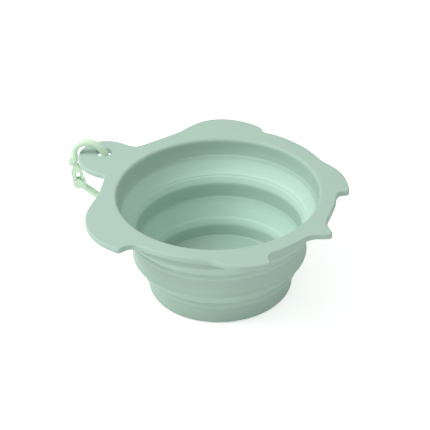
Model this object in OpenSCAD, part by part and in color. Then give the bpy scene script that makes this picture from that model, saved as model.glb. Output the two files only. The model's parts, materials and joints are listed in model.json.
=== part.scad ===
// Collapsible travel bowl: three stiff silicone tiers joined by two folding webs,
// a flat rim flange cut to the outline of a turtle, and a clip through a hole in the head.
// The origin is on the bowl's axis, on the face that it stands on. The head points to -X.

/* [Bowl] */
// Inside radius of the bowl at the rim
rim_r = 57; // [50:0.5:70]
// Inside radius of the middle tier
middle_r = 47.5; // [44:0.5:50]
// Inside radius of the base tier
base_r = 40; // [34:0.5:42]
// Wall thickness of the three tiers
wall = 2.6; // [2:0.1:3]
// Thickness of the two folding webs
web = 1.8; // [1:0.1:2.2]
// How much narrower each tier is at its foot than at its top
draft = 0.8; // [0.2:0.1:1.5]
// How much lower the outside of a tier ends than its inside, where a web hangs from it
foot_drop = 2.8; // [0:0.1:3]
// How much lower the outside of a tier begins than its inside, where a web stands on it
crease_drop = 1.2; // [0:0.1:1.5]

/* [Heights] */
// Height of the rim tier, flange included
rim_tier_h = 10.9; // [9:0.1:16]
// Height of the upper folding web
upper_fold_h = 10.5; // [7:0.1:13]
// Height of the middle tier
middle_tier_h = 12.5; // [10:0.1:18]
// Height of the lower folding web
lower_fold_h = 11.8; // [7:0.1:14]
// Height of the base tier
base_tier_h = 16.8; // [14:0.1:24]
// Height of the sloping shoulder at the top of the lower two tiers
shoulder_h = 4.6; // [2:0.1:6]
// Thickness of the bowl's floor
floor_t = 5.8; // [3:0.1:7]

/* [Rim flange] */
// Width of the flange between the bowl's edge and the edge of the turtle's shell
flange_w = 10.5; // [8:0.5:14]
// Thickness of the flange
flange_t = 3.7; // [2.5:0.1:5]
// Rounding of the edge between the flange and the bowl's inside
lip_round = 2; // [0.5:0.1:2.4]
// Distance from the hole in the head to the head's edge, along the clip
hole_inset = 14.7; // [12:0.1:18]
// Play of the clip's rod in that hole, across the diameter
hole_play = 4.6; // [3:0.1:6]

/* [Clip] */
// Diameter of the clip's rod
rod_d = 4.5; // [3.5:0.1:5.5]
// Gap between the clip's outer leg and the edge of the head
leg_gap = 0.85; // [0.6:0.05:2]
// Length of the clip's spine, from the hole down to its corner
spine_l = 33.5; // [31:0.5:45]
// How far the spine stands behind the middle of the hole
spine_back = 0.6; // [0:0.1:0.8]
// Distance of the arch's crest from the middle of the hole, along the clip
crest_out = 10.7; // [9:0.1:12]
// Height of the arch's crest above the middle of the flange
crest_h = 8.7; // [8:0.1:10]
// Rounding of the clip's lower corner, along the middle of the rod
corner_r = 4; // [3:0.1:5]
// Depth of the gate's hinge below the middle of the flange
hinge_drop = 18.8; // [18:0.1:20]
// How far the gate's hinge lies inside the line of the outer leg
hinge_in = 1.6; // [1:0.1:2.2]
// Turn of the clip about the vertical, away from the head's own direction
clip_turn = 33; // [10:1:45]
// Length of the nose below the middle of the flange
nose_drop = 3.7; // [3.4:0.1:4.2]
// Length of the lip that the nose hooks over the gate
lip_l = 2.4; // [1.8:0.1:2.8]
// How far that lip stands proud of the rod
lip_proud = 1.1; // [0.5:0.1:2]

/* [Gate] */
// Width of the gate across its bar and spring
gate_w = 6.4; // [5.8:0.1:7]
// Width of the gate's bar
gate_bar_w = 2.4; // [1.8:0.1:2.6]
// Thickness of the gate's bar, square to the clip
gate_t = 4.1; // [3:0.1:4.4]
// Width and thickness of the latch at the gate's top
latch_w = 2.2; // [1.6:0.1:2.6]
// Length of the latch
latch_l = 3.3; // [3:0.1:4]
// Height of the bridge between the bar and the spring
bridge_h = 3.4; // [1.4:0.1:4]
// Thickness of the gate's moulded spring
spring_t = 1.7; // [0.8:0.1:1.8]
// Radius of the hinge pin
pin_r = 0.9; // [0.6:0.05:1.1]
// Radius of the knuckle that turns on the pin
knuckle_r = 2.6; // [2.2:0.1:2.8]
// Radius of the clip's two hinge ears
ear_r = 3.1; // [2.9:0.1:3.4]
// Thickness of each hinge ear
ear_t = 1.15; // [0.8:0.05:1.4]

/* [Clearances] */
// Radial clearance of the gate on its pin
pin_clearance = 0.05; // [0.02:0.01:0.08]
// Clearance between the gate and what it moves in
gate_clearance = 0.3; // [0.2:0.05:0.5]
// Clearance on each side of the knuckle, between the ears
side_clearance = 0.1; // [0.05:0.05:0.2]

/* [Hidden] */
$fn = 96;
// Overrun of every cut past the face that it opens
cut = 1;
// The clip's sloping length is a hair thinner than the rod, and starts inside the bend's end
lap = 0.3;
slope_thinning = 0.05;

// Colours of the silicone and of the clip
silicone_colour = [0.64, 0.77, 0.71];
fold_colour = [0.57, 0.71, 0.64];
clip_colour = [0.78, 0.92, 0.79];
pin_colour = [0.72, 0.86, 0.74];

// Heights of the planes where the tiers and the webs meet
base_top_z = base_tier_h;
middle_foot_z = base_top_z + lower_fold_h;
middle_top_z = middle_foot_z + middle_tier_h;
rim_foot_z = middle_top_z + upper_fold_h;
bowl_h = rim_foot_z + rim_tier_h;
flange_z = bowl_h - flange_t;

// A web leans with its thickness, so its width on the level is larger than its thickness
function level_width(t, run, rise) = t * sqrt(run * run + rise * rise) / rise;

// Radii of the shoulders, where a web meets the tier under it
shoulder_flare_share = 0.52;
shoulder_flare = shoulder_flare_share * shoulder_h;
middle_top_r = middle_r + shoulder_flare;
base_top_r = base_r + shoulder_flare;
rim_foot_r = rim_r - draft;
middle_foot_r = middle_r - draft / 2;

upper_w = level_width(web, rim_foot_r - middle_top_r, upper_fold_h);
lower_w = level_width(web, middle_foot_r - base_top_r, lower_fold_h);

// Outward bow of each web, as a share of the width that it spans
bow_share = 0.2;

// Rounded corners of the base, the floor and the tiers
foot_round = wall;
floor_round = 0.8 * wall;
edge_steps = 4;

// Points of a quarter turn about a centre, from one angle to another
function arc(centre, r, from, to, steps = edge_steps) = [
    for (i = [0:steps]) let(a = from + (to - from) * i / steps)
        centre + r * [cos(a), sin(a)]
];

// Section of a web, from the tier under it to the tier that it hangs from
function web_line(low, high, steps = 8) = [
    for (i = [0:steps]) let(t = i / steps)
        low + (high - low) * t + [4 * bow_share * (high[0] - low[0]) * t * (1 - t), 0]
];
module web_section(low_r, low_z, high_r, high_z, w) {
    outside = web_line([low_r + w, low_z - crease_drop], [high_r + w, high_z - foot_drop]);
    polygon(concat(
        web_line([low_r, low_z], [high_r, high_z]),
        [for (i = [len(outside) - 1:-1:0]) outside[i]]
    ));
}

// Top of a tier that carries a web: its shoulder, inside and outside, going up
function shoulder_inside(r, top_z) = [
    [r, top_z - shoulder_h - shoulder_flare],
    [r + shoulder_flare / 4, top_z - shoulder_h],
    [r + shoulder_flare, top_z]
];
function shoulder_outside(r, top_z, w) = [
    [r + wall, top_z - shoulder_h - shoulder_flare],
    [r + wall + shoulder_flare / 4, top_z - shoulder_h],
    [r + shoulder_flare + w, top_z - crease_drop - shoulder_flare / 3],
    [r + shoulder_flare + w, top_z - crease_drop]
];

// Outline of the flange, clockwise from the head's far side, as shares of the shell's radius.
// Each stretch is a smooth curve, and the outline has a corner where two stretches meet.
shell_r = rim_r + flange_w;
head_edge_share = [-1.373, -0.074];
outline_shares = [
    // From behind the left front flipper, round the head, to the right front flipper's tip
    [
        [-0.185, -1.007], [-0.215, -1.07], [-0.235, -1.118], [-0.315, -1.121], [-0.425, -1.105],
        [-0.532, -1.065], [-0.628, -1.0], [-0.712, -0.912], [-0.78, -0.793], [-0.82, -0.66],
        [-0.85, -0.533], [-0.9, -0.415], [-0.95, -0.305], [-0.99, -0.268], [-1.065, -0.27],
        [-1.17, -0.258], [-1.26, -0.216], [-1.327, -0.152], head_edge_share, [-1.396, 0.015],
        [-1.378, 0.11], [-1.325, 0.185], [-1.25, 0.233], [-1.165, 0.252], [-1.075, 0.25],
        [-1.0, 0.272], [-0.95, 0.36], [-0.893, 0.48], [-0.85, 0.575], [-0.812, 0.668],
        [-0.785, 0.79], [-0.745, 0.897], [-0.69, 0.972], [-0.618, 1.028], [-0.54, 1.066],
        [-0.448, 1.088], [-0.35, 1.096], [-0.262, 1.088], [-0.215, 1.072], [-0.18, 1.04], [-0.157, 1.023]
    ],
    // Back along the shell to the right rear flipper's tip
    [
        [-0.157, 1.023], [-0.057, 1.036], [0.05, 1.03], [0.16, 1.01], [0.277, 0.98],
        [0.41, 0.92], [0.51, 0.865], [0.6, 0.838], [0.7, 0.802], [0.79, 0.745],
        [0.862, 0.672], [0.914, 0.607], [0.938, 0.565], [0.928, 0.535], [0.868, 0.5]
    ],
    // Past the tail to the left rear flipper
    [
        [0.868, 0.5], [0.898, 0.42], [0.935, 0.335], [0.96, 0.245], [0.98, 0.17], [0.998, 0.095],
        [1.02, 0.042], [1.065, -0.008], [1.11, -0.045], [1.127, -0.076], [1.112, -0.102],
        [1.05, -0.14], [1.003, -0.18], [0.976, -0.233], [0.96, -0.3], [0.925, -0.397],
        [0.886, -0.487], [0.84, -0.57]
    ],
    // The left rear flipper and the shell in front of it
    [
        [0.84, -0.57], [0.868, -0.628], [0.908, -0.668], [0.908, -0.692], [0.88, -0.725],
        [0.83, -0.777], [0.766, -0.825], [0.695, -0.858], [0.613, -0.876], [0.5, -0.884],
        [0.443, -0.9], [0.327, -0.941], [0.25, -0.965], [0.165, -0.982], [0.078, -0.993],
        [-0.015, -0.999], [-0.11, -1.0], [-0.185, -1.007]
    ]
];
outline_steps = 4;

function unit(v) = v / norm(v);

// A smooth curve through the points of one stretch
function spline_point(p, i, t) = let(
    a = p[max(i - 1, 0)], b = p[i], c = p[i + 1], d = p[min(i + 2, len(p) - 1)]
) 0.5 * (2 * b + (c - a) * t + (2 * a - 5 * b + 4 * c - d) * t * t + (3 * b - a - 3 * c + d) * t * t * t);
function stretch(p, steps) = [
    for (i = [0:len(p) - 2], k = [0:steps - 1]) spline_point(p, i, k / steps)
];
flange_outline = shell_r * [for (s = outline_shares) each stretch(s, outline_steps)];

// Clip, drawn in its own plane: X runs out over the head's edge and Y runs up from the hole
rod_r = rod_d / 2;
hole_r = (rod_d + hole_play) / 2;
clip_dir = [-cos(clip_turn), -sin(clip_turn)];
hole_at = shell_r * head_edge_share - hole_inset * clip_dir;
leg_x = hole_inset + leg_gap + rod_r;
hinge_at = [leg_x - hinge_in, -hinge_drop];
corner_at = [-spine_back, -spine_l];
slope_dir = unit(hinge_at - corner_at);
slope_deg = atan2(slope_dir[1], slope_dir[0]);
corner_turn = slope_deg + 90;
corner_tangent = corner_r * tan(corner_turn / 2);
spine_bend_r = crest_out + spine_back;
leg_bend_r = leg_x - crest_out;
lip_in = leg_x + latch_w / 2;
lip_out = leg_x + rod_r + lip_proud;

// Gate, drawn from its hinge: the direction up its bar leans out to meet the nose
gate_top = [lip_in - gate_clearance - latch_w / 2, -nose_drop - 2 * gate_clearance];
gate_l = norm(gate_top - hinge_at);
gate_lean = atan2(gate_top[1] - hinge_at[1], gate_top[0] - hinge_at[0]) - 90;
knuckle_t = rod_d - 2 * ear_t - 2 * side_clearance;
gate_body_top = gate_l - latch_l;
spring_foot = [-gate_w / 2, ear_r / 2];
function on_gate(p) = hinge_at + [
    p[0] * cos(gate_lean) - p[1] * sin(gate_lean),
    p[0] * sin(gate_lean) + p[1] * cos(gate_lean)
];

module place_clip() {
    translate([hole_at[0], hole_at[1], bowl_h - flange_t / 2])
        rotate([90, 0, 180 + clip_turn])
            children();
}

module place_gate() {
    place_clip()
        translate(hinge_at)
            rotate(gate_lean)
                children();
}

// A straight length of the clip's rod between two points of its plane
module rod(from, to, r = rod_r) {
    run = to - from;
    translate(from)
        rotate([0, 90, atan2(run[1], run[0])])
            cylinder(r = r, h = norm(run));
}

// A bend of the clip's rod about a centre
module bend(centre, r, from, sweep) {
    translate(centre)
        rotate(from)
            rotate_extrude(angle = sweep)
                translate([r, 0])
                    circle(r = rod_r);
}

// A plate of the clip's plane, centred on that plane
module plate(t) {
    translate([0, 0, -t / 2])
        linear_extrude(t)
            children();
}

module base_cup() {
    color(silicone_colour)
        rotate_extrude()
            polygon(concat(
                [[0, 0]],
                arc([base_r + wall - draft - foot_round, foot_round], foot_round, -90, 0),
                shoulder_outside(base_r, base_top_z, lower_w),
                [for (i = [2:-1:0]) shoulder_inside(base_r, base_top_z)[i]],
                [for (i = [edge_steps:-1:0])
                    arc([base_r - draft - floor_round, floor_t + floor_round], floor_round, -90, 0)[i]],
                [[0, floor_t]]
            ));
}

module lower_fold() {
    color(fold_colour)
        rotate_extrude()
            web_section(base_top_r, base_top_z, middle_foot_r, middle_foot_z, lower_w);
}

module middle_band() {
    color(silicone_colour)
        rotate_extrude()
            polygon(concat(
                [[middle_foot_r + lower_w, middle_foot_z - foot_drop]],
                [[middle_foot_r + wall + draft / 4, middle_foot_z]],
                shoulder_outside(middle_r, middle_top_z, upper_w),
                [for (i = [2:-1:0]) shoulder_inside(middle_r, middle_top_z)[i]],
                [[middle_foot_r, middle_foot_z]]
            ));
}

module upper_fold() {
    color(fold_colour)
        rotate_extrude()
            web_section(middle_top_r, middle_top_z, rim_foot_r, rim_foot_z, upper_w);
}

module rim_band() {
    color(silicone_colour)
        rotate_extrude()
            polygon([
                [rim_foot_r, rim_foot_z],
                [rim_foot_r + upper_w, rim_foot_z - foot_drop],
                [rim_foot_r + wall + draft / 4, rim_foot_z],
                [rim_r + wall, flange_z],
                [rim_r, flange_z]
            ]);
}

module rim_flange() {
    color(silicone_colour)
        difference() {
            translate([0, 0, flange_z])
                linear_extrude(flange_t)
                    polygon(flange_outline);
            translate([0, 0, flange_z - cut])
                cylinder(r = rim_r, h = flange_t + 2 * cut);
            rotate_extrude()
                polygon(concat(
                    [[rim_r - cut, bowl_h + cut], [rim_r - cut, bowl_h - lip_round]],
                    arc([rim_r + lip_round, bowl_h - lip_round], lip_round, 180, 90),
                    [[rim_r + lip_round, bowl_h + cut]]
                ));
            translate([hole_at[0], hole_at[1], flange_z - cut])
                cylinder(r = hole_r, h = flange_t + 2 * cut);
        }
}

module clip_body() {
    color(clip_colour)
        place_clip()
            difference() {
                union() {
                    bend([crest_out, crest_h - spine_bend_r], spine_bend_r, 90, 90);
                    bend([crest_out, crest_h - leg_bend_r], leg_bend_r, 0, 90);
                    rod([-spine_back, crest_h - spine_bend_r], corner_at + [0, corner_tangent]);
                    bend(corner_at + [corner_r, corner_tangent], corner_r, 180, corner_turn);
                    rod(corner_at + (corner_tangent - lap) * slope_dir, hinge_at, rod_r - slope_thinning);
                    translate([hinge_at[0], hinge_at[1], -rod_r])
                        cylinder(r = ear_r, h = rod_d);
                    rod([leg_x, crest_h - leg_bend_r], [leg_x, -nose_drop]);
                    plate(gate_t)
                        polygon([
                            [lip_in, 0], [lip_out - lip_proud, 0],
                            [lip_out, -nose_drop], [lip_out, -nose_drop - lip_l / 2],
                            [lip_out - lip_proud, -nose_drop - lip_l], [lip_in, -nose_drop - lip_l]
                        ]);
                    plate(gate_t)
                        polygon([
                            hinge_at - (ear_r + rod_r) * slope_dir,
                            on_gate(spring_foot - [spring_t / 2, ear_r]),
                            on_gate(spring_foot - [spring_t / 2, 0]),
                            on_gate(spring_foot + [spring_t, 0]),
                            hinge_at
                        ]);
                }
                translate([hinge_at[0], hinge_at[1], -knuckle_t / 2 - side_clearance])
                    cylinder(r = knuckle_r + gate_clearance, h = knuckle_t + 2 * side_clearance);
                plate(knuckle_t + 2 * side_clearance)
                    polygon([
                        hinge_at + [ear_r + cut, 0],
                        hinge_at + [ear_r + cut, ear_r + cut],
                        on_gate([spring_foot[0] - spring_t, ear_r + cut]),
                        on_gate(spring_foot - [spring_t, 0]),
                        on_gate([0, spring_foot[1]]),
                        hinge_at
                    ]);
                translate([hinge_at[0], hinge_at[1], -rod_r - cut])
                    cylinder(r = pin_r, h = rod_d + 2 * cut);
            }
}

module gate_pin() {
    color(pin_colour)
        place_clip()
            translate([hinge_at[0], hinge_at[1], -rod_r])
                cylinder(r = pin_r, h = rod_d);
}

module clip_gate() {
    color(clip_colour)
        place_gate()
            difference() {
                union() {
                    translate([0, 0, -knuckle_t / 2])
                        cylinder(r = knuckle_r, h = knuckle_t);
                    plate(knuckle_t)
                        polygon([
                            [gate_w / 2 - gate_bar_w, 0], [knuckle_r, 0],
                            [gate_w / 2, ear_r + 2 * gate_clearance],
                            [gate_w / 2 - gate_bar_w, ear_r + 2 * gate_clearance]
                        ]);
                    difference() {
                        plate(gate_t)
                            polygon([
                                [gate_w / 2 - gate_bar_w, 0], [gate_w / 2, 0],
                                [gate_w / 2, gate_body_top - bridge_h / 2],
                                [latch_w / 2, gate_body_top + bridge_h / 2],
                                [-latch_w / 2, gate_body_top + bridge_h / 2],
                                [-gate_w / 2, gate_body_top - bridge_h / 2],
                                [-gate_w / 2, gate_body_top - bridge_h],
                                [gate_w / 2 - gate_bar_w, gate_body_top - bridge_h]
                            ]);
                        translate([0, 0, -rod_r])
                            cylinder(r = ear_r + gate_clearance, h = rod_d);
                    }
                    plate(latch_w)
                        polygon([
                            [-latch_w / 2, gate_body_top], [latch_w / 2, gate_body_top],
                            [latch_w / 2, gate_l], [-latch_w / 2, gate_l]
                        ]);
                }
                translate([0, 0, -rod_r])
                    cylinder(r = pin_r + pin_clearance, h = rod_d);
            }
}

module gate_spring() {
    color(clip_colour)
        place_gate()
            plate(latch_w)
                polygon([
                    [-gate_w / 2, gate_body_top - bridge_h],
                    [-gate_w / 2 + spring_t, gate_body_top - bridge_h],
                    [-gate_w / 2 + spring_t, ear_r + spring_t],
                    spring_foot + [spring_t / 2, 0],
                    spring_foot - [spring_t / 4, 0],
                    [-gate_w / 2, ear_r + spring_t]
                ]);
}

base_cup();
lower_fold();
middle_band();
upper_fold();
rim_band();
rim_flange();
clip_body();
gate_pin();
clip_gate();
gate_spring();
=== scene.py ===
import json
from math import pi, radians

import bpy
from mathutils import Matrix, Vector

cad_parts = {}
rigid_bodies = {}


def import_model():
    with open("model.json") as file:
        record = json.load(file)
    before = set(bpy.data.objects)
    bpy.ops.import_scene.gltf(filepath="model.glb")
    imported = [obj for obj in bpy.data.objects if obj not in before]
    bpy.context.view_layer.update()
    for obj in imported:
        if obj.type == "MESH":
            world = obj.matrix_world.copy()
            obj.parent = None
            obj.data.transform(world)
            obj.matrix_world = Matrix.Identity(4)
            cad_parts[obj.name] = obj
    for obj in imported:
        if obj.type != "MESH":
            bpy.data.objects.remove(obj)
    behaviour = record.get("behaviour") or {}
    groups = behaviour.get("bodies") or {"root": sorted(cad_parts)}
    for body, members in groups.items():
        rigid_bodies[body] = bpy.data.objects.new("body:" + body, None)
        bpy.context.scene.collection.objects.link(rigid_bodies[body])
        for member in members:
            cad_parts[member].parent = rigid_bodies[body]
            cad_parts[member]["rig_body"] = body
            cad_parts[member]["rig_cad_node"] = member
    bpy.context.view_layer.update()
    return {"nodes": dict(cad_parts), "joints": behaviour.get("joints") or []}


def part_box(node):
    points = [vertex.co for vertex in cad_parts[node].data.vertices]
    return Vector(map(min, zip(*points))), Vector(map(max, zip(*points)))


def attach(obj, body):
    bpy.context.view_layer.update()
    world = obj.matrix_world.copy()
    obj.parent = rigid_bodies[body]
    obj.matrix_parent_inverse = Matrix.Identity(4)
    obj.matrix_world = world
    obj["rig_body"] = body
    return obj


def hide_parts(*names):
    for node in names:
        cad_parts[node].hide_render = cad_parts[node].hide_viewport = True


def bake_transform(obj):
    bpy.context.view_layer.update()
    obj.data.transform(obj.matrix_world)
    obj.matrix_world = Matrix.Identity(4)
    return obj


mm = 0.001
mergeWithin = 0.002 * mm
samePlace = 0.01 * mm

print("Loading the frame")
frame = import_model()


def selectNothing():
    if bpy.context.mode != "OBJECT":
        bpy.ops.object.mode_set(mode="OBJECT")
    bpy.ops.object.select_all(action="DESELECT")


def workOn(piece):
    selectNothing()
    piece.select_set(True)
    bpy.context.view_layer.objects.active = piece


def editMode(kind="VERT"):
    bpy.ops.object.mode_set(mode="EDIT")
    bpy.ops.mesh.select_mode(type=kind)
    bpy.ops.mesh.select_all(action="DESELECT")


def objectMode():
    bpy.ops.object.mode_set(mode="OBJECT")


def pickVertices(piece, wanted):
    # selection made in object mode is what edit mode shows next
    bpy.ops.mesh.select_all(action="DESELECT")
    objectMode()
    for vertex in piece.data.vertices:
        vertex.select = wanted(vertex.co)
    bpy.ops.object.mode_set(mode="EDIT")


def pickEdges(piece, wanted):
    bpy.ops.mesh.select_mode(type="EDGE")
    bpy.ops.mesh.select_all(action="DESELECT")
    objectMode()
    sides = {}
    for face in piece.data.polygons:
        for key in face.edge_keys:
            sides.setdefault(key, []).append(face.normal)
    for edge in piece.data.edges:
        ends = [piece.data.vertices[i].co for i in edge.vertices]
        edge.select = wanted(ends, sides.get(edge.key, []))
    bpy.ops.object.mode_set(mode="EDIT")


def applyModifier(piece, kind, **settings):
    workOn(piece)
    modifier = piece.modifiers.new(kind.title(), kind)
    for name, value in settings.items():
        setattr(modifier, name, value)
    bpy.ops.object.modifier_apply(modifier=modifier.name)


def smoothByAngle(piece, degrees):
    workOn(piece)
    bpy.ops.object.shade_smooth_by_angle(angle=radians(degrees))


def copyOfNode(nodeName, name):
    selectNothing()
    node = frame["nodes"][nodeName]
    node.select_set(True)
    bpy.context.view_layer.objects.active = node
    bpy.ops.object.duplicate()
    piece = bpy.context.object
    bpy.ops.object.parent_clear(type="CLEAR_KEEP_TRANSFORM")
    del piece["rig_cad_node"], piece["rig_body"]
    piece.name = piece.data.name = name
    piece.data.materials.clear()
    if piece.data.has_custom_normals:
        bpy.ops.mesh.customdata_custom_splitnormals_clear()
    editMode()
    bpy.ops.mesh.select_all(action="SELECT")
    bpy.ops.mesh.remove_doubles(threshold=mergeWithin)
    objectMode()
    return piece


def jointOf(name):
    return next(joint for joint in frame["joints"] if joint["name"] == name)


# The bowl's section is read from the frame's own hinge lines
def corner(node, high):
    low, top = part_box(node)
    return (top.x / mm, (top if high else low).z / mm)


# a crease is where a web stands on a tier, and a foot is where it hangs from the tier above
hingeLines = {
    "foot": corner("base_cup", False),
    "lowCrease": corner("base_cup", True),
    "lowFoot": corner("lower_fold", True),
    "highCrease": corner("middle_band", True),
    "highFoot": corner("upper_fold", True),
    "flange": corner("rim_band", True),
}

# Each point is a hinge line, then millimetres out and up from it, then the length rounded off there
lowerBowlShape = {
    "turns": 192,
    "roundSteps": 4,
    "smoothAngle": 50,
    "outside": [
        ("foot", -10.9, 0.9, 0.4), ("foot", -9.6, 0.0, 0.4), ("foot", -3.1, 0.0, 2.6),
        ("foot", -2.2, 8.0, 2.0), ("foot", -1.8, 11.2, 1.2), ("lowCrease", 0.5, -3.4, 1.0),
        ("lowCrease", 0.4, -1.6, 0.9), ("lowCrease", -0.2, -0.5, 0.7), ("lowCrease", 1.2, 1.1, 0.9),
        ("lowFoot", -1.7, -8.2, 1.6), ("lowFoot", 0.4, -6.0, 1.2), ("lowFoot", 1.2, -4.5, 0.9),
        ("lowFoot", -0.1, -1.9, 1.2), ("lowFoot", 0.9, 4.4, 0.0),
    ],
    "inside": [
        ("lowFoot", -1.7, 4.4, 0.0), ("lowFoot", -1.8, 0.3, 0.5), ("lowFoot", -2.5, -0.6, 0.6),
        ("lowFoot", -3.6, -5.0, 1.8), ("lowCrease", -1.2, 1.7, 0.7), ("lowCrease", -1.8, 0.5, 0.5),
        ("lowCrease", -2.5, -0.2, 0.6), ("lowCrease", -4.4, -4.2, 1.3),
        ("lowCrease", -4.9, -8.4, 1.6), ("lowCrease", -5.2, -11.0, 2.0),
    ],
    "floor": 5.8,
}
upperBowlShape = {
    "turns": 192,
    "roundSteps": 4,
    "smoothAngle": 50,
    "outside": [
        ("lowFoot", 0.9, 4.4, 0.0), ("highCrease", -1.6, -5.0, 1.1), ("highCrease", 0.4, -2.9, 1.0),
        ("highCrease", 0.3, -1.3, 0.9), ("highCrease", 0.0, -0.2, 0.6), ("highCrease", 1.0, 1.3, 0.9),
        ("highFoot", -2.3, -6.4, 1.8), ("highFoot", -0.4, -3.7, 1.2), ("highFoot", 0.5, -2.3, 0.9),
        ("highFoot", 0.4, 0.2, 0.9), ("flange", -0.5, -1.9, 1.2), ("flange", 1.4, 0.0, 0.0),
    ],
    "inside": [
        ("flange", -2.6, 0.0, 0.0), ("flange", -2.7, -3.0, 0.8), ("highFoot", -2.0, 0.7, 0.45),
        ("highFoot", -2.9, -0.3, 0.6), ("highFoot", -4.1, -4.0, 1.8), ("highFoot", -6.5, -7.8, 1.2),
        ("highCrease", -1.9, 1.2, 0.6), ("highCrease", -2.1, 0.5, 0.45), ("highCrease", -2.7, 0.0, 0.6),
        ("highCrease", -4.5, -3.9, 1.3), ("lowFoot", -1.7, 4.4, 0.0),
    ],
}


# Painted light: the webs and shoulders, the thinnest silicone, are painted lighter, standing in for light let
# through them; on the outer face, where the flange shades them, a smaller share is painted
paintedWebLight = {
    "spans": [("lowCrease", "lowFoot"), ("highCrease", "highFoot")],
    # outside is the share of painted light on the outer face, kept low as painted shade under the flange
    "below": -3.4, "above": -1.0, "fade": 1.6, "outside": 0.3,
}


def sectionPoints(entries):
    return [
        (hingeLines[line][0] + out, hingeLines[line][1] + up, rounding)
        for line, out, up, rounding in entries
    ]


def spinSection(name, points, shape, closed):
    # a vertex is extruded from point to point, its corners are rounded, and the section is spun
    selectNothing()
    bpy.ops.mesh.primitive_plane_add(size=mm, location=(0, 0, 0))
    piece = bpy.context.object
    piece.name = piece.data.name = name
    bpy.ops.object.mode_set(mode="EDIT")
    bpy.ops.mesh.select_mode(type="VERT")
    bpy.ops.mesh.select_all(action="SELECT")
    bpy.ops.mesh.merge(type="CENTER")
    bpy.ops.transform.translate(value=(points[0][0] * mm, 0, points[0][1] * mm))
    for here, after in zip(points, points[1:]):
        step = ((after[0] - here[0]) * mm, 0, (after[1] - here[1]) * mm)
        bpy.ops.mesh.extrude_region_move(TRANSFORM_OT_translate={"value": step})
    if closed:
        first, last = (Vector((out, 0, up)) * mm for out, up, rounding in (points[0], points[-1]))
        pickVertices(piece, lambda co: min((co - first).length, (co - last).length) < samePlace)
        bpy.ops.mesh.edge_face_add()
    for out, up, rounding in points:
        if rounding:
            place = Vector((out, 0, up)) * mm
            pickVertices(piece, lambda co: (co - place).length < samePlace)
            bpy.ops.mesh.bevel(offset=rounding * mm, segments=shape["roundSteps"], affect="VERTICES")
    bpy.ops.mesh.select_all(action="SELECT")
    bpy.ops.mesh.spin(steps=shape["turns"], angle=2 * pi, center=(0, 0, 0), axis=(0, 0, 1))
    bpy.ops.mesh.select_all(action="SELECT")
    bpy.ops.mesh.remove_doubles(threshold=mergeWithin)
    bpy.ops.mesh.normals_make_consistent(inside=False)
    objectMode()
    markPaintedWebLight(piece)
    smoothByAngle(piece, shape["smoothAngle"])
    return piece


def markPaintedWebLight(piece):
    # painted light share: one where a web or a tier's shoulder is, fading to nought on the thicker walls, and
    # only the outside share on the outer face
    bands = [
        (hingeLines[low][1] + paintedWebLight["below"], hingeLines[high][1] + paintedWebLight["above"])
        for low, high in paintedWebLight["spans"]
    ]

    def share(vertex):
        up = vertex.co.z / mm
        depth = max(min(up - low, high - up) for low, high in bands)
        span = min(1, max(0, 0.5 + depth / paintedWebLight["fade"]))
        return span * (paintedWebLight["outside"] if vertex.normal.xy.dot(vertex.co.xy) > 0 else 1)

    paintedLight = piece.data.attributes.new("paintedLight", "FLOAT", "POINT")
    paintedLight.data.foreach_set("value", [share(vertex) for vertex in piece.data.vertices])


def makeLowerBowl():
    shape = lowerBowlShape
    recess = sectionPoints(shape["outside"])[0][1]
    points = [(0.0, recess, 0.0)] + sectionPoints(shape["outside"]) + sectionPoints(shape["inside"])
    points = points[:-1] + [(points[-1][0], shape["floor"], points[-1][2]), (0.0, shape["floor"], 0.0)]
    piece = spinSection("lowerBowl", points, shape, closed=False)
    piece.data.materials.append(silicone)
    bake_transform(piece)
    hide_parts("base_cup", "lower_fold", "middle_band")


def makeUpperBowl():
    shape = upperBowlShape
    points = sectionPoints(shape["outside"]) + sectionPoints(shape["inside"])
    piece = spinSection("upperBowl", points, shape, closed=True)
    piece.data.materials.append(silicone)
    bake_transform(piece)
    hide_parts("upper_fold", "rim_band")


# The turtle flange keeps the frame's own outline and gets moulded edges, in millimetres and degrees
# its edges stay sharp inside boreRadius, where the bowl joins, and holeRegion is rounded by itself
flangeShape = {
    "boreRadius": 61.0, "holeRegion": 7.0, "holeFit": 0.05,
    "tipAngle": 40, "tipReach": 2.6, "tipSmooth": 3, "tipStrength": 0.5,
    "edgeRound": 1.0, "edgeSteps": 4, "holeRound": 0.6, "holeSteps": 3,
    "flatAngle": 0.5, "levelNormal": 0.99, "smoothAngle": 40, "normalWeight": 100,
}


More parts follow.
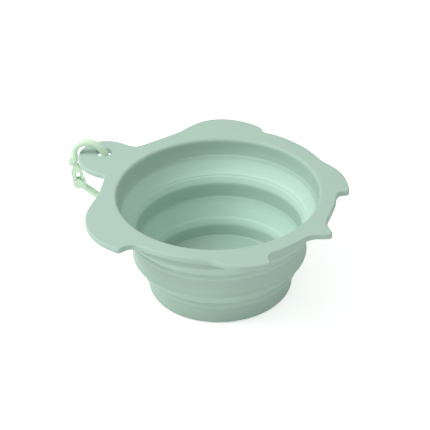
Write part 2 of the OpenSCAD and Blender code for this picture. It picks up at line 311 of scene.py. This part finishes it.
def makeTurtleFlange():
    shape = flangeShape
    piece = copyOfNode("rim_flange", "turtleFlange")
    low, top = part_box("rim_flange")
    bore = shape["boreRadius"] * mm
    hole = Vector(jointOf("clip_swing")["pos_m"][:2])
    holeRadius = min((v.co.xy - hole).length for v in piece.data.vertices)
    editMode("FACE")
    bpy.ops.mesh.select_all(action="SELECT")
    bpy.ops.mesh.dissolve_limited(angle_limit=radians(shape["flatAngle"]))

    def onFlats(ends, sides):
        level = [abs(normal.z) > shape["levelNormal"] for normal in sides]
        onSkin = all(min(abs(p.z - low.z), abs(p.z - top.z)) < samePlace for p in ends)
        return onSkin and len(sides) == 2 and level[0] != level[1]

    def roundHole(p):
        return abs((p.xy - hole).length - holeRadius) < shape["holeFit"] * mm

    def inside(p):
        return p.xy.length < bore or (p.xy - hole).length < shape["holeRegion"] * mm

    def holeEdge(ends, sides):
        return onFlats(ends, sides) and all(roundHole(p) for p in ends)

    def outerEdge(ends, sides):
        return onFlats(ends, sides) and not any(inside(p) for p in ends)

    def atCorner(ends, sides):
        upright = (ends[0].xy - ends[1].xy).length < samePlace
        if not upright or len(sides) != 2 or inside(ends[0]):
            return False
        return sides[0].angle(sides[1]) > radians(shape["tipAngle"])

    pickEdges(piece, atCorner)
    objectMode()
    vertices = piece.data.vertices
    corners = [vertices[edge.vertices[0]].co.xy for edge in piece.data.edges if edge.select]
    editMode()
    reach = shape["tipReach"] * mm
    pickVertices(piece, lambda co: any((co.xy - tip).length < reach for tip in corners))
    bpy.ops.mesh.vertices_smooth(factor=shape["tipStrength"], repeat=shape["tipSmooth"], zaxis=False)
    print("Flange tips softened:", len(corners))
    for wanted, size, steps in ((holeEdge, "holeRound", "holeSteps"), (outerEdge, "edgeRound", "edgeSteps")):
        pickEdges(piece, wanted)
        bpy.ops.mesh.bevel(
            offset=shape[size] * mm, segments=shape[steps], affect="EDGES", clamp_overlap=False,
        )
    objectMode()
    smoothByAngle(piece, shape["smoothAngle"])
    applyModifier(piece, "WEIGHTED_NORMAL", keep_sharp=True, weight=shape["normalWeight"])
    piece.data.materials.append(silicone)
    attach(piece, "rim")
    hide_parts("rim_flange")


# The clip's solids are softened as mouldings are: voxel in millimetres, then so many smoothing passes
clipShape = {
    "clip_body": {"name": "clipBody", "body": "clip", "voxel": 0.22, "soften": 6, "strength": 0.5},
    "clip_gate": {"name": "clipGate", "body": "gate", "voxel": 0.16, "soften": 4, "strength": 0.5},
    "gate_spring": {
        "name": "gateSpring", "body": "gate", "bendsTo": "clip", "voxel": 0.12, "soften": 3, "strength": 0.5,
    },
    "gate_pin": {"name": "gatePin", "body": "clip", "voxel": 0.12, "soften": 3, "strength": 0.5},
}


def makeClip():
    for nodeName, shape in clipShape.items():
        piece = copyOfNode(nodeName, shape["name"])
        workOn(piece)
        piece.data.remesh_voxel_size = shape["voxel"] * mm
        bpy.ops.object.voxel_remesh()
        applyModifier(piece, "SMOOTH", factor=shape["strength"], iterations=shape["soften"])
        bpy.ops.object.shade_smooth()
        piece.data.materials.append(clipPlastic)
        if "bendsTo" in shape:
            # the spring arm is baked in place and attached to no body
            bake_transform(piece)
        else:
            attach(piece, shape["body"])
        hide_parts(nodeName)


def newGroup(name, inputs, outputs):
    group = bpy.data.node_groups.new(name, "ShaderNodeTree")
    for label, kind in inputs:
        group.interface.new_socket(name=label, in_out="INPUT", socket_type=kind)
    for label, kind in outputs:
        group.interface.new_socket(name=label, in_out="OUTPUT", socket_type=kind)
    return group, addNode(group, "NodeGroupInput"), addNode(group, "NodeGroupOutput")


def addNode(tree, kind, values=None, **settings):
    node = tree.nodes.new(kind)
    for name, value in settings.items():
        setattr(node, name, value)
    for socket, value in (values or {}).items():
        node.inputs[socket].default_value = value
    return node


def mixColour(tree, factor, first, second):
    # a Mix node's sockets share their names, so its colours are found by number
    node = addNode(tree, "ShaderNodeMix", data_type="RGBA")
    for socket, value in ((0, factor), (6, first), (7, second)):
        if isinstance(value, bpy.types.NodeSocket):
            tree.links.new(value, node.inputs[socket])
        else:
            node.inputs[socket].default_value = value
    return node.outputs[2]


def sumUp(tree, operation, first, second, third=None):
    node = addNode(tree, "ShaderNodeMath", operation=operation)
    for socket, value in enumerate((first, second, third)):
        if isinstance(value, bpy.types.NodeSocket):
            tree.links.new(value, node.inputs[socket])
        elif value is not None:
            node.inputs[socket].default_value = value
    return node.outputs[0]


def scaledBy(tree, vector, factor):
    node = addNode(tree, "ShaderNodeVectorMath", operation="SCALE")
    tree.links.new(vector, node.inputs[0])
    tree.links.new(factor, node.inputs["Scale"])
    return node.outputs[0]


def noiseAt(tree, place, scale, detail=2.0):
    node = addNode(tree, "ShaderNodeTexNoise", {"Scale": scale, "Detail": detail})
    tree.links.new(place, node.inputs["Vector"])
    return node.outputs["Fac"]


def rampOf(tree, value, low, high, start=0.0, end=1.0):
    node = addNode(tree, "ShaderNodeMapRange", {1: low, 2: high, 3: start, 4: end})
    tree.links.new(value, node.inputs[0])
    return node.outputs[0]


# Pattern scales count waves or cells to a metre, and the speck sizes are shares of a cell
skinPattern = {
    "cloudScale": 28.0, "cloudDetail": 3.0,
    "rubScale": 90.0, "rubDetail": 4.0, "rubFrom": 0.3, "rubTo": 0.7, "rubDepth": 0.07,
    "speckScale": 620.0, "speckRim": 0.11, "speckCore": 0.05, "dustColour": (0.86, 0.92, 0.88, 1),
    "patchScale": 210.0, "patchFrom": 0.62, "patchTo": 0.70,
}


def makeSkinGroup():
    # matte moulded skin: slow clouding, fine grain, rubbed patches, a few specks of dust, and painted light
    # that brightens the thin webs
    pattern = skinPattern
    tree, given, result = newGroup(
        "mouldedSkin",
        [("Place", "NodeSocketVector"), ("Colour", "NodeSocketColor"), ("Clouding", "NodeSocketFloat"),
         ("Grain Scale", "NodeSocketFloat"), ("Dust", "NodeSocketFloat"), ("Roughness", "NodeSocketFloat"),
         ("Painted Light Share", "NodeSocketFloat"), ("Painted Light Strength", "NodeSocketFloat")],
        [("Colour", "NodeSocketColor"), ("Roughness", "NodeSocketFloat"), ("Height", "NodeSocketFloat")],
    )
    place = given.outputs["Place"]
    cloud = noiseAt(tree, place, pattern["cloudScale"], pattern["cloudDetail"])
    # painted light: the colour is brightened by the painted light share times its strength, standing in for
    # light through the thin webs
    lit = sumUp(tree, "MULTIPLY_ADD", given.outputs["Painted Light Share"], given.outputs["Painted Light Strength"], 1.0)
    shade = sumUp(tree, "MULTIPLY_ADD", sumUp(tree, "SUBTRACT", cloud, 0.5), given.outputs["Clouding"], lit)
    clouded = scaledBy(tree, given.outputs["Colour"], shade)
    specks = addNode(tree, "ShaderNodeTexVoronoi", {"Scale": pattern["speckScale"]})
    tree.links.new(place, specks.inputs["Vector"])
    dots = rampOf(tree, specks.outputs["Distance"], pattern["speckRim"], pattern["speckCore"])
    patches = noiseAt(tree, place, pattern["patchScale"])
    sparse = rampOf(tree, patches, pattern["patchFrom"], pattern["patchTo"])
    dust = sumUp(tree, "MULTIPLY", sumUp(tree, "MULTIPLY", dots, sparse), given.outputs["Dust"])
    tree.links.new(mixColour(tree, dust, clouded, pattern["dustColour"]), result.inputs["Colour"])
    rubs = noiseAt(tree, place, pattern["rubScale"], pattern["rubDetail"])
    depth = pattern["rubDepth"]
    rubbed = rampOf(tree, rubs, pattern["rubFrom"], pattern["rubTo"], -depth, depth)
    tree.links.new(sumUp(tree, "ADD", given.outputs["Roughness"], rubbed), result.inputs["Roughness"])
    grain = noiseAt(tree, scaledBy(tree, place, given.outputs["Grain Scale"]), 1.0)
    tree.links.new(grain, result.inputs["Height"])
    return tree


# the silicone's painted light strength brightens its thin webs as painted light; the clip has none
siliconeFinish = {
    "colour": (0.385, 0.535, 0.452, 1), "clouding": 0.08, "grainScale": 2400.0, "dust": 0.3,
    "roughness": 0.60, "bump": 0.10, "bumpDepth": 0.2, "specular": 0.40, "sheen": 0.08, "paintedLightStrength": 0.31,
}
clipFinish = {
    "colour": (0.71, 0.90, 0.69, 1), "clouding": 0.06, "grainScale": 1500.0, "dust": 0.1,
    "roughness": 0.36, "bump": 0.05, "bumpDepth": 0.2, "specular": 0.5, "sheen": 0.0, "paintedLightStrength": 0.0,
    "partingWidth": 0.10, "partingBump": 0.25,
}


def makeFinish(name, finish, skin):
    material = bpy.data.materials.new(name)
    material.use_nodes = True
    tree = material.node_tree
    shader = tree.nodes["Principled BSDF"]
    place = addNode(tree, "ShaderNodeTexCoord").outputs["Object"]
    group = addNode(tree, "ShaderNodeGroup", node_tree=skin)
    tree.links.new(place, group.inputs["Place"])
    for socket, value in (("Colour", "colour"), ("Clouding", "clouding"), ("Grain Scale", "grainScale"),
                          ("Dust", "dust"), ("Roughness", "roughness"), ("Painted Light Strength", "paintedLightStrength")):
        group.inputs[socket].default_value = finish[value]
    # the painted light share marked on the bowl's vertices
    paintedLight = addNode(tree, "ShaderNodeAttribute", attribute_name="paintedLight")
    tree.links.new(paintedLight.outputs["Fac"], group.inputs["Painted Light Share"])
    height = group.outputs["Height"]
    if "partingWidth" in finish:
        height = addPartingLine(tree, place, height, finish)
    bump = addNode(tree, "ShaderNodeBump", {"Strength": finish["bump"], "Distance": finish["bumpDepth"] * mm})
    tree.links.new(height, bump.inputs["Height"])
    tree.links.new(group.outputs["Colour"], shader.inputs["Base Color"])
    tree.links.new(group.outputs["Roughness"], shader.inputs["Roughness"])
    tree.links.new(bump.outputs["Normal"], shader.inputs["Normal"])
    shader.inputs["Specular IOR Level"].default_value = finish["specular"]
    shader.inputs["Sheen Weight"].default_value = finish["sheen"]
    material.diffuse_color = finish["colour"]
    return material


def addPartingLine(tree, place, height, finish):
    # the mould's parting line runs round the clip in the plane that the gate opens in
    hinge = jointOf("gate_hinge")
    across = addNode(tree, "ShaderNodeVectorMath", {1: hinge["axis"]}, operation="DOT_PRODUCT")
    centred = addNode(tree, "ShaderNodeVectorMath", {1: hinge["pos_m"]}, operation="SUBTRACT")
    tree.links.new(place, centred.inputs[0])
    tree.links.new(centred.outputs[0], across.inputs[0])
    away = sumUp(tree, "ABSOLUTE", across.outputs["Value"], 0.0)
    ridge = rampOf(tree, away, finish["partingWidth"] * mm, 0.0)
    return sumUp(tree, "MULTIPLY_ADD", ridge, finish["partingBump"] / finish["bump"], height)


print("Mixing the finishes")
skin = makeSkinGroup()
silicone = makeFinish("sageSilicone", siliconeFinish, skin)
clipPlastic = makeFinish("mintPlastic", clipFinish, skin)

print("Moulding the bowl")
makeLowerBowl()
makeUpperBowl()
print("Cutting the turtle flange")
makeTurtleFlange()
print("Moulding the clip")
makeClip()


# metres and watts
studio = {
    "floorSize": 6.0, "floorColour": (0.93, 0.93, 0.93, 1), "floorRoughness": 0.9,
    "floorGlow": 0.04, "seenGlow": 0.54, "worldStrength": 0.63,
    "keyPlace": (-0.69, -0.55, 1.06), "keyAim": (0, 0, 0.03), "keySize": 0.8, "keyPower": 12.6,
}
# fitted to the photograph: millimetres and degrees in the part's frame
photoCamera = {"place": (456.6, -706.8, 601.9), "azimuth": 33.0, "down": 33.43, "roll": -1.70, "lens": 148.47}


def makeFloor():
    selectNothing()
    bpy.ops.mesh.primitive_plane_add(size=studio["floorSize"], location=(0, 0, 0))
    floor = bpy.context.object
    floor.name = "studioFloor"
    paper = bpy.data.materials.new("studioPaper")
    paper.use_nodes = True
    tree = paper.node_tree
    shader = tree.nodes["Principled BSDF"]
    shader.inputs["Base Color"].default_value = studio["floorColour"]
    shader.inputs["Emission Color"].default_value = studio["floorColour"]
    shader.inputs["Roughness"].default_value = studio["floorRoughness"]
    # the paper glows for the camera alone, as a cleared backdrop does, so shadows on it stay faint
    seen = addNode(tree, "ShaderNodeLightPath").outputs["Is Camera Ray"]
    glow = rampOf(tree, seen, 0.0, 1.0, studio["floorGlow"], studio["seenGlow"])
    tree.links.new(glow, shader.inputs["Emission Strength"])
    floor.data.materials.append(paper)


def makeLights():
    selectNothing()
    place = Vector(studio["keyPlace"])
    bpy.ops.object.light_add(type="AREA", location=place)
    key = bpy.context.object
    key.name = "keyLight"
    key.data.shape = "DISK"
    key.data.size = studio["keySize"]
    key.data.energy = studio["keyPower"]
    key.rotation_euler = (Vector(studio["keyAim"]) - place).to_track_quat("-Z", "Y").to_euler()
    world = bpy.data.worlds.new("studioWorld")
    bpy.context.scene.world = world
    world.use_nodes = True
    background = world.node_tree.nodes["Background"]
    background.inputs["Color"].default_value = (1, 1, 1, 1)
    background.inputs["Strength"].default_value = studio["worldStrength"]
    bpy.context.scene.view_settings.view_transform = "Standard"


def makeCamera():
    selectNothing()
    bpy.ops.object.camera_add(location=Vector(photoCamera["place"]) * mm)
    camera = bpy.context.object
    camera.name = "photoCamera"
    turned = (
        Matrix.Rotation(radians(photoCamera["azimuth"]), 4, "Z")
        @ Matrix.Rotation(radians(90 - photoCamera["down"]), 4, "X")
        @ Matrix.Rotation(radians(photoCamera["roll"]), 4, "Z")
    )
    camera.rotation_euler = turned.to_euler()
    camera.data.lens = photoCamera["lens"]
    bpy.context.scene.camera = camera


print("Setting the studio")
makeFloor()
makeLights()
makeCamera()

print("Finishing")
